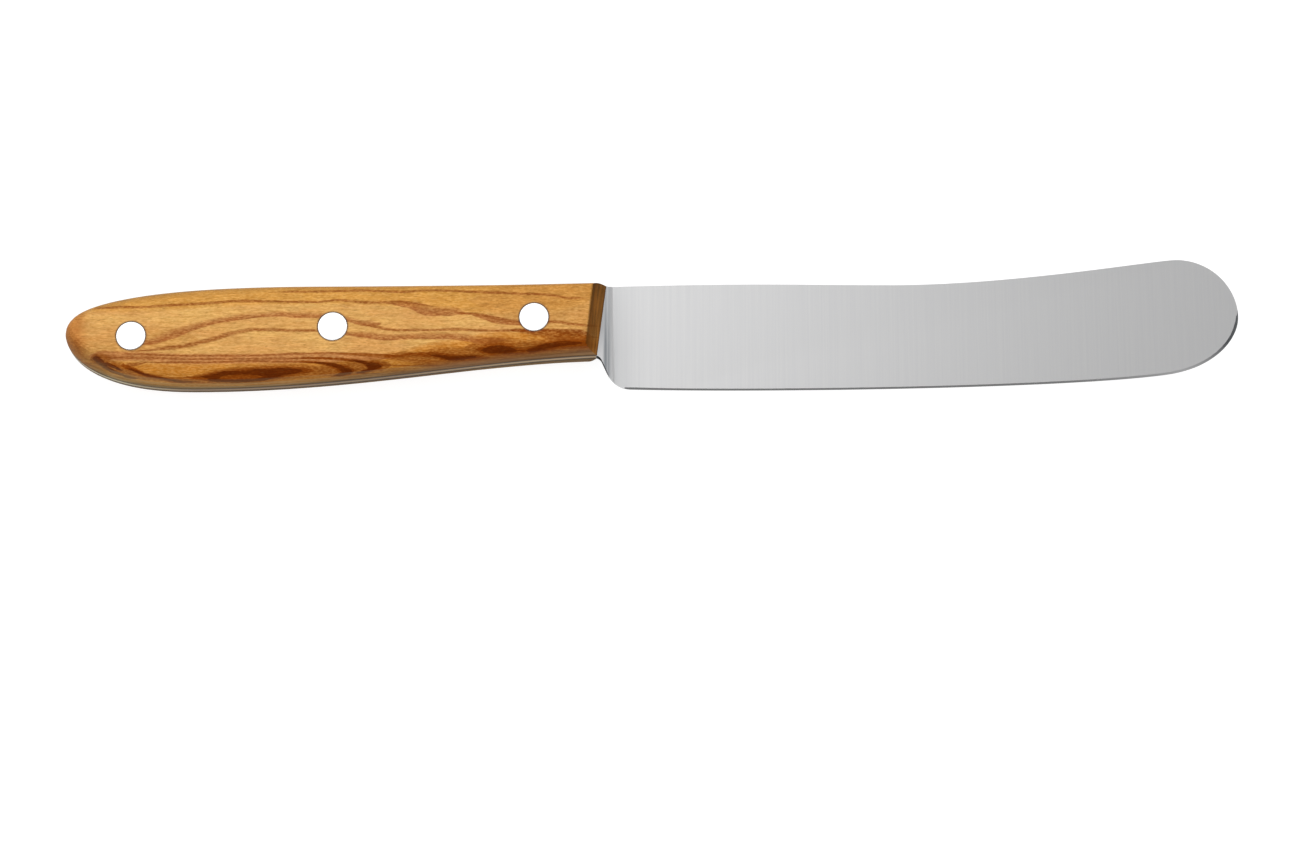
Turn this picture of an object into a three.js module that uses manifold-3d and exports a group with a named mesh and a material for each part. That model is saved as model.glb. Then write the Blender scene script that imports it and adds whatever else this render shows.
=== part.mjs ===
// A riveted table knife: a broad, round-tipped steel blade whose full tang is clad in two wooden scales,
// held by three two-part rivets. It lies on its left scale, with the tip towards +X, the spine towards +Y
// and the origin on the table under the middle of its outline.
import * as THREE from "three";
import { mergeVertices, toCreasedNormals } from "three/addons/utils/BufferGeometryUtils.js";
import Module from "manifold-3d";

const wasm = await Module();
wasm.setup();

// Driving dimensions in millimetres, angles in degrees.
// X runs from the shoulder, where the scales end at the back of the tang, towards the tip.
// Y runs from the back of the tang towards the spine side, and Z from the middle of the steel.

// Blade outline
const BLADE_LENGTH = 116.7; // shoulder to tip
const SWEEP_START = 52.6; // where the spine begins to sweep up to the tip
const SPINE_LIFT = 0.4; // spine above the tang's back where the sweep begins
const SPINE_SWELL = 0.85; // how high the curve between shoulder and sweep is pulled
const TIP_RISE = 5.3; // top of the tip above the tang's back
const TIP_RADIUS = 11; // upper round of the tip
const TIP_BELLY = 13.8; // length of the fuller curve under the tip
const EDGE_LIFT = 2.8; // how far the edge has risen where that curve begins
const EDGE_ANGLE = 8; // slope of the edge there
const EDGE_SAG = 0.6; // how low the edge is pulled in front of the heel
const HEEL_STEP = 6.3; // heel below the tang
const HEEL_ANGLE = 66; // slope of the heel between its two rounds
const HEEL_RADIUS = 4.6; // outer round of the heel
const HEEL_SHARE = 0.9; // most of the heel's step that its two rounds may take
const NOTCH_RADIUS = 1.5; // inner round between heel and tang
const NOTCH_SETBACK = 2; // where that round leaves the tang, behind the shoulder

// Blade grind
const TANG_THICKNESS = 1.8; // sheet that the blade and tang are cut from
const GRIND_DEPTH = 0.3; // steel ground off each side at the spine
const TIP_THICKNESS = 0.8; // spine at the tip
const EDGE_THICKNESS = 0.3; // behind the honed edge
const EDGE_LAND = 0.08; // what the hone leaves of the edge
const HONE_ANGLE = 22; // honed bevel, each side
const HONE_START = 2.6; // where the hone comes down on the edge, behind the end of the heel's round
const HONE_RUN_IN = 1; // length over which it comes down
const HONE_TURN = 22; // how far the hone follows the upper round of the tip
const HONE_RUN_OUT = 6; // length over which it comes off the edge there
const PLUNGE_X = 0.2; // crease where the grind starts, in front of the shoulder
const PLUNGE_RADIUS = 2; // grinding wheel's corner

// Handle outline, shared by the tang and the scales
const HANDLE_LENGTH = 99.2; // shoulder to butt
const TANG_DEPTH = 13.3; // at the front of the handle
const BELLY_DEPTH = 19.7; // at the fullest part
const BELLY_X = 75.9; // fullest part, behind the shoulder
const BUTT_DROP = 9.5; // butt below the tang's back
const BACK_CURVE_X = 51.7; // where the back begins to fall to the butt, behind the shoulder
const BACK_DROP = 0.4; // back below the shoulder there

// Fullness of the outline's curves: how far each is pulled along its end's direction, as a share of its span
const FRONT_PULL = 0.57; // back, between its low point and the shoulder
const BACK_PULL = 0.52; // back, where it begins to fall to the butt
const BUTT_UPPER_PULL = 0.79; // butt, upwards
const BUTT_LOWER_PULL = 0.36; // butt, downwards
const BELLY_REAR_PULL = 0.76;
const BELLY_FRONT_PULL = 0.39;
const TANG_PULL = 0.33; // underside, where it reaches the notch
const TANG_FALL = 0.19; // how much of the belly's depth that pull has
const EDGE_HEEL_PULL = 0.24;
const EDGE_TIP_PULL = 0.19;
const TIP_BELLY_PULL = 0.7;
const TIP_LOWER_PULL = 0.34;
const TIP_UPPER_PULL = 0.075;
const SWEEP_PULL = 0.43;
const SPINE_PULL = 0.36;
const SHOULDER_PULL = 0.55;

// Scales
const SCALE_THICKNESS = 4.8;
const BACK_ROUND_FRONT = 1.3; // width of the rounding along the back
const BACK_ROUND_REAR = 4.5;
const BELLY_ROUND_FRONT = 1.2; // width of the rounding along the underside
const BELLY_ROUND_REAR = 7.4;
const BUTT_ROUND = 3; // width of the rounding at the butt
const FRONT_X = 0.16; // front end at the steel, in front of the shoulder
const FRONT_SLANT = 7.2; // the same end seen from the side: the lower corner sits back
const FACE_SLANT = 5.8; // and at the outer face
const FRONT_LEAN = 2.4; // how far the front end leans back over the thickness of a scale
const FRONT_ROUND = 0.9; // radius between the front end and the outer face

// Rivets: a tube half and a pin half, pressed together through the tang
const RIVET_NAMES = ["front", "middle", "rear"];
const RIVET_X = 13; // front rivet, behind the shoulder
const RIVET_DEPTH = 7.4; // front rivet, below the tang's back
const RIVET_PITCH = 36.8;
const RIVET_DROP = 1.8; // each rivet sits this much lower than the one in front
const HEAD_DIAMETER = 5.4;
const HEAD_HEIGHT = 1.5;
const TUBE_DIAMETER = 3.6;
const PIN_DIAMETER = 2.3;
const BORE_FLOOR = 0.8; // solid metal between the tube's head and its bore
const END_GAP = 0.6; // room left at the end of tube and pin when they are pressed home
const HOLE_CLEARANCE = 0.1; // around tube and pin
const HEAD_CLEARANCE = 0.06; // around the heads

// Fineness of the facets
const CURVE_STEPS = 28;
const ROUND_STEPS = 8;
const PLUNGE_STEPS = 8;
const HONE_STEPS = 90;
const CIRCLE_SIDES = 48;
const CREASE_ANGLE = 30;

// How far cutters reach past what they cut
const OVERCUT = 3;

const edgeDepth = TANG_DEPTH + HEEL_STEP;
const halfTang = TANG_THICKNESS / 2;
const faceHeight = halfTang + SCALE_THICKNESS;
const headSeat = faceHeight - HEAD_HEIGHT;
const seatDiameter = HEAD_DIAMETER + 2 * HEAD_CLEARANCE;
const holeDiameter = TUBE_DIAMETER + 2 * HOLE_CLEARANCE;
const tipCentre = new THREE.Vector2(BLADE_LENGTH - TIP_RADIUS, TIP_RISE - TIP_RADIUS);
const { lerp, clamp, degToRad } = THREE.MathUtils;

// Solids and meshes

// The closed solid inside a geometry
function solidOf(geometry) {
  const bare = new THREE.BufferGeometry();
  bare.setAttribute("position", geometry.getAttribute("position"));
  bare.setIndex(geometry.getIndex());
  const merged = mergeVertices(bare);
  const vertProperties = merged.getAttribute("position").array;
  const triVerts = new Uint32Array(merged.getIndex().array);
  return new wasm.Manifold(new wasm.Mesh({ numProp: 3, vertProperties, triVerts }));
}

// The geometry of a solid, with its sharp edges kept sharp
function geometryOf(solid) {
  const { vertProperties, triVerts } = solid.getMesh();
  const geometry = new THREE.BufferGeometry();
  geometry.setAttribute("position", new THREE.BufferAttribute(vertProperties, 3));
  geometry.setIndex(new THREE.BufferAttribute(triVerts, 1));
  return toCreasedNormals(geometry, degToRad(CREASE_ANGLE));
}

// Triangles over a closed ring of points, like rungs between its two halves
function ladder(first, count) {
  const triangles = [];
  for (let i = 0, j = count - 1; i + 1 < j; i++, j--) {
    triangles.push(first + i, first + i + 1, first + j);
    if (i + 1 < j - 1) triangles.push(first + i + 1, first + j - 1, first + j);
  }
  return triangles;
}

// A closed solid skinned over a row of rings, each with the same number of points
function loft(rings) {
  const count = rings[0].length;
  const last = (rings.length - 1) * count;
  const index = ladder(0, count).toReversed().concat(ladder(last, count));
  for (let a = 0; a < last; a++) {
    const b = a % count === count - 1 ? a + 1 - count : a + 1;
    index.push(a, b, a + count, b, b + count, a + count);
  }
  const skin = (order) => {
    const geometry = new THREE.BufferGeometry().setFromPoints(rings.flat());
    return solidOf(geometry.setIndex(order));
  };
  const solid = skin(index);
  return solid.volume() > 0 ? solid : skin(index.toReversed());
}

// An upright cylinder between two heights
function cylinder(diameter, from, to, x, y) {
  const radius = diameter / 2;
  const geometry = new THREE.CylinderGeometry(radius, radius, Math.abs(to - from), CIRCLE_SIDES);
  geometry.rotateX(Math.PI / 2);
  geometry.translate(x, y, (from + to) / 2);
  return solidOf(geometry);
}

// Outline, traced from the shoulder along the back to the butt, and round the edge and tip

function traceHandle(path) {
  const back = BACK_PULL * (HANDLE_LENGTH - BACK_CURVE_X);
  const rear = BELLY_REAR_PULL * (HANDLE_LENGTH - BELLY_X);
  const front = BELLY_X - NOTCH_SETBACK;
  path.quadraticCurveTo((FRONT_PULL - 1) * BACK_CURVE_X, -BACK_DROP, -BACK_CURVE_X, -BACK_DROP);
  path.bezierCurveTo(
    -BACK_CURVE_X - back, -BACK_DROP,
    -HANDLE_LENGTH, (BUTT_UPPER_PULL - 1) * BUTT_DROP,
    -HANDLE_LENGTH, -BUTT_DROP,
  );
  path.bezierCurveTo(
    -HANDLE_LENGTH, -lerp(BUTT_DROP, BELLY_DEPTH, BUTT_LOWER_PULL),
    -BELLY_X - rear, -BELLY_DEPTH,
    -BELLY_X, -BELLY_DEPTH,
  );
  path.bezierCurveTo(
    -BELLY_X + BELLY_FRONT_PULL * front, -BELLY_DEPTH,
    -NOTCH_SETBACK - TANG_PULL * front, -lerp(TANG_DEPTH, BELLY_DEPTH, TANG_FALL),
    -NOTCH_SETBACK, -TANG_DEPTH,
  );
}

// The notch turns down from the tang, and the heel turns forward again into the edge.
function traceHeel(path) {
  const slope = degToRad(HEEL_ANGLE);
  const share = 1 - Math.cos(slope);
  const ease = Math.min(1, (HEEL_SHARE * HEEL_STEP) / (share * (NOTCH_RADIUS + HEEL_RADIUS)));
  const notch = NOTCH_RADIUS * ease;
  const heel = HEEL_RADIUS * ease;
  const straight = HEEL_STEP - share * (notch + heel);
  const run = straight / Math.tan(slope);
  const heelX = -NOTCH_SETBACK + (notch + heel) * Math.sin(slope) + run;
  const quarter = Math.PI / 2;
  path.absarc(-NOTCH_SETBACK, -TANG_DEPTH - notch, notch, quarter, quarter - slope, true);
  path.absarc(heelX, heel - edgeDepth, heel, -quarter - slope, -quarter, false);
}

function traceEdge(path) {
  const start = path.currentPoint.x;
  const bellyX = BLADE_LENGTH - TIP_BELLY;
  const bellyY = EDGE_LIFT - edgeDepth;
  const slope = Math.tan(degToRad(EDGE_ANGLE));
  const straight = bellyX - start;
  const before = EDGE_TIP_PULL * straight;
  const after = TIP_BELLY_PULL * TIP_BELLY;
  path.bezierCurveTo(
    start + EDGE_HEEL_PULL * straight, -edgeDepth - EDGE_SAG,
    bellyX - before, bellyY - slope * before,
    bellyX, bellyY,
  );
  path.bezierCurveTo(
    bellyX + after, bellyY + slope * after,
    BLADE_LENGTH, lerp(tipCentre.y, bellyY, TIP_LOWER_PULL),
    BLADE_LENGTH, tipCentre.y,
  );
}

function traceTip(path, turn) {
  path.absarc(tipCentre.x, tipCentre.y, TIP_RADIUS, 0, degToRad(turn), false);
}

function traceSpine(path) {
  const sweep = tipCentre.x - SWEEP_START;
  path.bezierCurveTo(
    tipCentre.x - TIP_UPPER_PULL * sweep, TIP_RISE,
    SWEEP_START + SWEEP_PULL * sweep, SPINE_LIFT,
    SWEEP_START, SPINE_LIFT,
  );
  path.bezierCurveTo(
    (1 - SPINE_PULL) * SWEEP_START, SPINE_LIFT,
    SHOULDER_PULL * SWEEP_START, SPINE_SWELL,
    0, 0,
  );
}

function knifeOutline() {
  const outline = new THREE.Shape();
  outline.moveTo(0, 0);
  traceHandle(outline);
  traceHeel(outline);
  traceEdge(outline);
  traceTip(outline, 90);
  traceSpine(outline);
  return outline;
}

// Blade

// What the wheel takes off one side: a concave plunge, which begins a step above the face of the tang, then
// a wedge that thins to the edge and to the tip.
function grindCut(side) {
  const lines = [
    { y: TIP_RISE + OVERCUT, start: halfTang - GRIND_DEPTH, end: TIP_THICKNESS / 2 },
    { y: -edgeDepth - OVERCUT, start: EDGE_THICKNESS / 2, end: EDGE_THICKNESS / 2 },
  ];
  const top = halfTang + OVERCUT;
  const ring = (point) => {
    const ground = lines.map(point);
    const above = ground.toReversed().map((p) => new THREE.Vector3(p.x, p.y, side * top));
    return [...ground, ...above];
  };
  const plunge = (share) => (line) => {
    const depth = halfTang - line.start;
    const run = Math.sqrt(2 * PLUNGE_RADIUS * depth);
    const height = line.start + depth * (1 - share) ** 2;
    return new THREE.Vector3(PLUNGE_X + run * share, line.y, side * height);
  };
  const tip = (line) => new THREE.Vector3(BLADE_LENGTH + OVERCUT, line.y, side * line.end);
  const rings = [];
  for (let i = -1; i <= PLUNGE_STEPS; i++) rings.push(ring(plunge(i / PLUNGE_STEPS)));
  rings.push(ring(tip));
  return loft(rings);
}

// What the hone takes off one side of the edge: a narrow bevel from the heel round the tip, which runs out
// at both ends.
function honeCut(side) {
  const edge = new THREE.Path();
  traceHeel(edge.moveTo(-NOTCH_SETBACK, -TANG_DEPTH));
  const heel = edge.currentPoint.clone();
  const path = new THREE.Path();
  path.moveTo(heel.x - HONE_START, heel.y);
  path.lineTo(heel.x, heel.y);
  traceEdge(path);
  traceTip(path, HONE_TURN);
  const points = path.getSpacedPoints(HONE_STEPS);
  const slope = Math.tan(degToRad(HONE_ANGLE));
  const reach = TANG_THICKNESS / slope;
  const last = points.length - 1;
  const rings = points.map((point, i) => {
    const before = points[Math.max(0, i - 1)];
    const after = points[Math.min(last, i + 1)];
    const along = after.clone().sub(before).normalize();
    const outward = new THREE.Vector2(along.y, -along.x);
    const runIn = point.distanceTo(points[0]) / HONE_RUN_IN;
    const runOut = point.distanceTo(points[last]) / HONE_RUN_OUT;
    const lift = halfTang * (1 - clamp(Math.min(runIn, runOut), 0, 1)) ** 2;
    const at = (out, height) => {
      const p = point.clone().addScaledVector(outward, out);
      return new THREE.Vector3(p.x, p.y, side * (EDGE_LAND / 2 + lift + height));
    };
    return [at(-reach, reach * slope), at(OVERCUT, -OVERCUT * slope), at(OVERCUT, reach * slope)];
  });
  return loft(rings);
}

function bladeSolid() {
  const blank = new THREE.ExtrudeGeometry(knifeOutline(), {
    depth: TANG_THICKNESS,
    bevelEnabled: false,
    curveSegments: CURVE_STEPS,
  });
  blank.translate(0, 0, -halfTang);
  let blade = solidOf(blank);
  for (const side of [1, -1]) {
    blade = blade.subtract(grindCut(side)).subtract(honeCut(side));
  }
  for (const { x, y } of rivetPlaces()) {
    blade = blade.subtract(cylinder(holeDiameter, -TANG_THICKNESS, TANG_THICKNESS, x, y));
  }
  return blade;
}

// Scales

// The line through the rivets, on past the front of the handle
function rivetLine() {
  const places = rivetPlaces();
  const [front, rear] = [places[0], places.at(-1)];
  const step = front.clone().sub(rear).normalize();
  const start = front.clone().addScaledVector(step, RIVET_X + OVERCUT);
  return new THREE.Line3(start, rear);
}

// Width of the rounding where the outline lies in the given direction from the rivet line
function roundingAt(point, outward) {
  const along = clamp(-point.x / HANDLE_LENGTH, 0, 1);
  const back = lerp(BACK_ROUND_FRONT, BACK_ROUND_REAR, along);
  const belly = lerp(BELLY_ROUND_FRONT, BELLY_ROUND_REAR, along);
  const towardsButt = Math.max(0, -outward.x) ** 2;
  return lerp(outward.y > 0 ? back : belly, BUTT_ROUND, towardsButt);
}

// The handle's outline pulled in towards the rivet line, as it is at one level of the rounding. The rivet
// heads keep a flat face around them.
function scaleRing(outline, line, turn, side) {
  const height = side * (halfTang + SCALE_THICKNESS * Math.sin(turn));
  return outline.map(({ x, y }) => {
    const point = new THREE.Vector3(x, y, 0);
    const inner = line.closestPointToPoint(point, true, new THREE.Vector3());
    const outward = point.clone().sub(inner);
    const wall = Math.max(0, outward.length() - seatDiameter / 2);
    outward.normalize();
    const width = Math.min(roundingAt(point, outward), wall);
    point.addScaledVector(outward, -width * (1 - Math.cos(turn)));
    return point.setZ(height);
  });
}

// What the slanted, leaning front end cuts off, with a round left between it and the outer face
function frontCut(side) {
  const depth = TANG_DEPTH + 2 * OVERCUT;
  const reach = 2 * OVERCUT;
  const lean = Math.atan(FRONT_LEAN / SCALE_THICKNESS);
  const roundX = -FRONT_LEAN - FRONT_ROUND * Math.tan(Math.PI / 4 - lean / 2);
  const profile = new THREE.Shape();
  profile.absarc(roundX, SCALE_THICKNESS - FRONT_ROUND, FRONT_ROUND, lean, Math.PI / 2, false);
  profile.lineTo(roundX, SCALE_THICKNESS + OVERCUT);
  profile.lineTo(reach, SCALE_THICKNESS + OVERCUT);
  profile.lineTo(reach, -OVERCUT);
  profile.lineTo(OVERCUT * Math.tan(lean), -OVERCUT);
  profile.lineTo(0, 0);
  const geometry = new THREE.ExtrudeGeometry(profile, {
    depth,
    steps: ROUND_STEPS,
    bevelEnabled: false,
    curveSegments: ROUND_STEPS,
  });
  const places = geometry.getAttribute("position");
  const steelSlope = Math.tan(degToRad(FRONT_SLANT));
  const faceSlope = Math.tan(degToRad(FACE_SLANT));
  for (let i = 0; i < places.count; i++) {
    const height = places.getY(i);
    const below = places.getZ(i) - OVERCUT;
    const slope = lerp(steelSlope, faceSlope, height / SCALE_THICKNESS);
    places.setXYZ(i, FRONT_X + places.getX(i) - below * slope, -below, halfTang + height);
  }
  const cut = solidOf(geometry);
  return side > 0 ? cut : cut.mirror([0, 0, 1]);
}

function scaleSolid(side) {
  const path = new THREE.Path();
  path.moveTo(OVERCUT, 0);
  path.lineTo(0, 0);
  traceHandle(path);
  path.lineTo(OVERCUT, -TANG_DEPTH);
  const outline = path.getPoints(CURVE_STEPS);
  const line = rivetLine();
  const rings = [];
  for (let i = 0; i <= ROUND_STEPS; i++) {
    rings.push(scaleRing(outline, line, (Math.PI / 2) * (i / ROUND_STEPS), side));
  }
  let scale = loft(rings).subtract(frontCut(side));
  const past = side * (faceHeight + OVERCUT);
  for (const { x, y } of rivetPlaces()) {
    scale = scale.subtract(cylinder(holeDiameter, 0, past, x, y));
    scale = scale.subtract(cylinder(seatDiameter, side * headSeat, past, x, y));
  }
  return scale;
}

// Rivets

function rivetPlaces() {
  return RIVET_NAMES.map(
    (_, i) => new THREE.Vector3(-RIVET_X - i * RIVET_PITCH, -RIVET_DEPTH - i * RIVET_DROP, 0),
  );
}

// A turned piece, from points of radius and height
function turned(points) {
  const profile = points.map(([radius, height]) => new THREE.Vector2(radius, height));
  return new THREE.LatheGeometry(profile, CIRCLE_SIDES).rotateX(Math.PI / 2);
}

const tubeBoreFloor = headSeat - BORE_FLOOR;

// The tube half: its head seats in the right scale, and its bore opens towards the left one.
function rivetTube() {
  const bore = PIN_DIAMETER / 2 + HOLE_CLEARANCE;
  const end = END_GAP - headSeat;
  return turned([
    [0, tubeBoreFloor],
    [bore, tubeBoreFloor],
    [bore, end],
    [TUBE_DIAMETER / 2, end],
    [TUBE_DIAMETER / 2, headSeat],
    [HEAD_DIAMETER / 2, headSeat],
    [HEAD_DIAMETER / 2, faceHeight],
    [0, faceHeight],
  ]);
}

// The pin half: its head seats in the left scale, and its pin fills the bore of the tube.
function rivetPin() {
  const end = tubeBoreFloor - END_GAP;
  return turned([
    [0, -faceHeight],
    [HEAD_DIAMETER / 2, -faceHeight],
    [HEAD_DIAMETER / 2, -headSeat],
    [PIN_DIAMETER / 2, -headSeat],
    [PIN_DIAMETER / 2, end],
    [0, end],
  ]);
}

// Assembly

const steel = { color: 0xc4c4c4, metalness: 1, roughness: 0.35 };
const oliveWood = { color: 0xc58d51, metalness: 0, roughness: 0.5 };
const aluminium = { color: 0xe6e6e8, metalness: 1, roughness: 0.3 };

const knife = new THREE.Group();

function addPiece(name, geometry, finish) {
  const mesh = new THREE.Mesh(geometry, new THREE.MeshStandardMaterial(finish));
  mesh.name = name;
  knife.add(mesh);
  return mesh;
}

addPiece("blade", geometryOf(bladeSolid()), steel);
addPiece("right_scale", geometryOf(scaleSolid(1)), oliveWood);
addPiece("left_scale", geometryOf(scaleSolid(-1)), oliveWood);
rivetPlaces().forEach((place, i) => {
  addPiece(`rivet_tube_${RIVET_NAMES[i]}`, rivetTube(), aluminium).position.copy(place);
  addPiece(`rivet_pin_${RIVET_NAMES[i]}`, rivetPin(), aluminium).position.copy(place);
});

// Laid on the left scale, over the middle of the outline
const box = new THREE.Box3().setFromObject(knife, true);
const middle = box.getCenter(new THREE.Vector3());
knife.position.set(-middle.x, -middle.y, -box.min.z);

const part = new THREE.Group();
part.add(knife);
export default part;
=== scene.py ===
"""Looks of a riveted table knife: cross-ground steel, oiled olive-wood scales and rivets sanded flush."""

import math

import bmesh
import bpy
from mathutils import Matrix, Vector


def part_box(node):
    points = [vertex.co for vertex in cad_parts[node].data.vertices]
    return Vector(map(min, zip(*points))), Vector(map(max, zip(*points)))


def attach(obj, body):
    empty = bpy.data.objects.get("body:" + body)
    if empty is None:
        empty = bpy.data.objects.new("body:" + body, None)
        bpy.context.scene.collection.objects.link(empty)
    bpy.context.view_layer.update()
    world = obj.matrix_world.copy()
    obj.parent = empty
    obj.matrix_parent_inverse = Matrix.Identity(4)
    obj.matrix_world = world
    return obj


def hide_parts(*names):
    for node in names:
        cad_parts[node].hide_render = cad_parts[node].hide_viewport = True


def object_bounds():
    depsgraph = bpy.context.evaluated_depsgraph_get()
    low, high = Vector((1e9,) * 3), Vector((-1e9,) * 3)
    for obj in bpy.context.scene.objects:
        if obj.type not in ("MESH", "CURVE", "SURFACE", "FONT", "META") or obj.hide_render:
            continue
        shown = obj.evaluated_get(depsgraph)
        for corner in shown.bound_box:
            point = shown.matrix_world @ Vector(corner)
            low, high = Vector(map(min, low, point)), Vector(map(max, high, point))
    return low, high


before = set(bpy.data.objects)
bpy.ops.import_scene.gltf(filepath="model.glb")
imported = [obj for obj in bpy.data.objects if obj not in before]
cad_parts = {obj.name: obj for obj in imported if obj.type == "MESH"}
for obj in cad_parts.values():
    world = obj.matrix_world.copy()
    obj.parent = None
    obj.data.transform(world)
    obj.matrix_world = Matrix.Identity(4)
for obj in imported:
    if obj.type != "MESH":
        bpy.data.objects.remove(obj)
cad_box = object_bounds()

MM = 0.001

# Camera, in millimetres of the row frame: the photograph's own viewpoint, high above and to the edge side
CAMERA_PLACE = (-0.155, -206.3, 665.65)
CAMERA_TARGET = (-0.155, -20.81, 5.7)
LENS = 103.5
SENSOR = 36.0

# Finish of the pieces, in millimetres and degrees
WELD = 0.0005
FLAT_ANGLE = 0.05
SMOOTH_ANGLE = 10.0
ARRIS_ANGLE = 40.0
ARRIS_STEPS = 3
WOOD_ARRIS = 0.16
RIVET_ARRIS = 0.14
NO_ARRIS = 0.0

# Height of the right scale's outer face, and half the thickness of the tang
FACE_HEIGHT = cad_box[1].z / MM
HALF_TANG = 0.9

# Front of the scales at the steel: x = FRONT_FOOT + FRONT_SLANT * y
FRONT_FOOT = -9.505
FRONT_SLANT = 0.126

# Middle and radius of each rivet's head
RIVETS = ("front", "middle", "rear")
HEADS = []
for rivet in RIVETS:
    low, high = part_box(f"rivet_tube_{rivet}")
    HEADS.append(((low + high) / 2, (high.x - low.x) / 2))

# Settings of a Mix node that lays one colour over another, and of one that tints a colour
LAID_OVER = {"out": 2, "data_type": "RGBA"}
TINTED = {"out": 2, "data_type": "RGBA", "blend_type": "MULTIPLY"}


def linear(hex_colour):
    """An sRGB hex colour as linear RGBA."""
    channels = [int(hex_colour[i : i + 2], 16) / 255 for i in (0, 2, 4)]
    return [c / 12.92 if c <= 0.04045 else ((c + 0.055) / 1.055) ** 2.4 for c in channels] + [1.0]


def add(tree, kind, inputs=None, out=0, **settings):
    """Adds a node with its settings, and values or links on its inputs, and returns one of its outputs."""
    node = tree.nodes.new(kind)
    for name, value in settings.items():
        setattr(node, name, value)
    for key, value in (inputs or {}).items():
        if isinstance(value, bpy.types.NodeSocket):
            tree.links.new(value, node.inputs[key])
        else:
            node.inputs[key].default_value = value
    return node.outputs[out] if node.outputs else node


def new_material(name):
    """An empty material and its node tree."""
    material = bpy.data.materials.new(name)
    material.use_nodes = True
    material.node_tree.nodes.clear()
    return material, material.node_tree


# Olive wood

# Across a streak, from its lower to its upper edge: (share of its height, strength)
EVEN = ((0, 0), (0.5, 1), (1, 0))
SHARP_BELOW = ((0, 0), (0.2, 1), (0.6, 0.8), (1, 0))
SHARP_ABOVE = ((0, 0), (0.35, 0.8), (0.85, 1), (1, 0))
SOFT = ((0, 0), (0.35, 1), (0.65, 1), (1, 0))
FULL = ((0, 0), (0.25, 1), (0.75, 1), (1, 0))

# The figure of the right scale, as it shows on its outer face. Each streak is a row of places along it,
# (x, upper edge, lower edge) in millimetres of the row frame, and it closes at both ends.
GOLDEN_WOOD = (
    (
        (-106, 1, 1), (-100, 6, 0.6), (-90, 7, 0.8), (-78, 7.5, 1.6), (-58, 8, 2.0),
        (-44, 8, 1.4), (-30, 8.5, 0.0), (-18, 8.5, 0.5), (-8, 5, 5),
    ),
)
TAN_WOOD = (
    ((-34, 3, 3), (-24, 7, -2), (-12, 9, -4), (-6, 4, 4)),
    ((-106, -5, -5), (-103, -3.6, -8.6), (-100, -4.0, -8.6), (-97, -4.6, -8.2), (-92, -6.4, -6.4)),
    ((-97, -4, -4), (-93, -2, -6.4), (-89, -1.8, -6.8), (-86, -2.6, -6.6), (-82, -5, -5)),
)
ORANGE_WOOD = (
    (
        (-105.5, -9, -9), (-100, -8.2, -13), (-95, -8.4, -14.4), (-85, -8.6, -15.4), (-72, -8.4, -15.6),
        (-60, -8, -14.6), (-52, -7.2, -13.6), (-46, -6.4, -13), (-40, -4.7, -12.4), (-36, -4.2, -11.8),
        (-31, -3, -11.2), (-22, -2.2, -10), (-8, -5, -5),
    ),
)
PURPLE_STREAKS = (
    (
        (-95.5, -5.5, -5.5), (-92, -4.1, -5.6), (-89.5, -3.1, -5), (-87, -2.1, -4.2), (-84, -1.3, -2.9),
        (-81, -0.5, -1.9), (-78, 0.1, -1.2), (-75, 0.5, -0.7), (-71, 0.8, -0.3), (-68, 1.15, -0.2),
        (-65.5, 0.75, -0.4), (-62, 0.75, -0.5), (-57, 0.1, -0.9), (-55, -0.2, -1.4), (-52.5, -0.6, -2),
        (-50.5, -1, -1.9), (-49.4, -1.5, -1.5),
    ),
    (
        (-49.5, 2.4, 2.4), (-46, 2.8, 1.8), (-44, 2.8, 1.1), (-42, 2.6, 0.1), (-40, 2.1, -0.1),
        (-38, 2.0, -0.1), (-36, 1.9, 0.1), (-34.8, 1.1, 0.2), (-33, 0.5, 0.5),
    ),
    (
        (-33.5, 0.3, 0.3), (-30.5, 0.5, -0.9), (-28, 0, -1.7), (-26, -0.4, -1.8), (-24, -0.7, -1.8),
        (-21, -1.3, -1.3),
    ),
    (
        (-58.5, -3.2, -3.2), (-55, -2.8, -3.9), (-51.5, -2.9, -4.4), (-49, -3.2, -4.7), (-44, -3.1, -4.5),
        (-38, -3.0, -4.5), (-34, -3.3, -4.9), (-31, -3.8, -5.5), (-26, -4.5, -4.5),
    ),
)
PINK_BAND = (
    (
        (-103.5, -7.8, -7.8), (-101, -6.7, -8.3), (-99, -6.6, -8.6), (-92, -6.8, -8.8),
        (-84, -7.1, -9.3), (-74, -7.2, -9.2), (-66, -6.9, -9.1), (-58, -6.8, -8.9), (-50, -7.1, -8.4),
        (-45, -7.6, -7.6),
    ),
)
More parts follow.
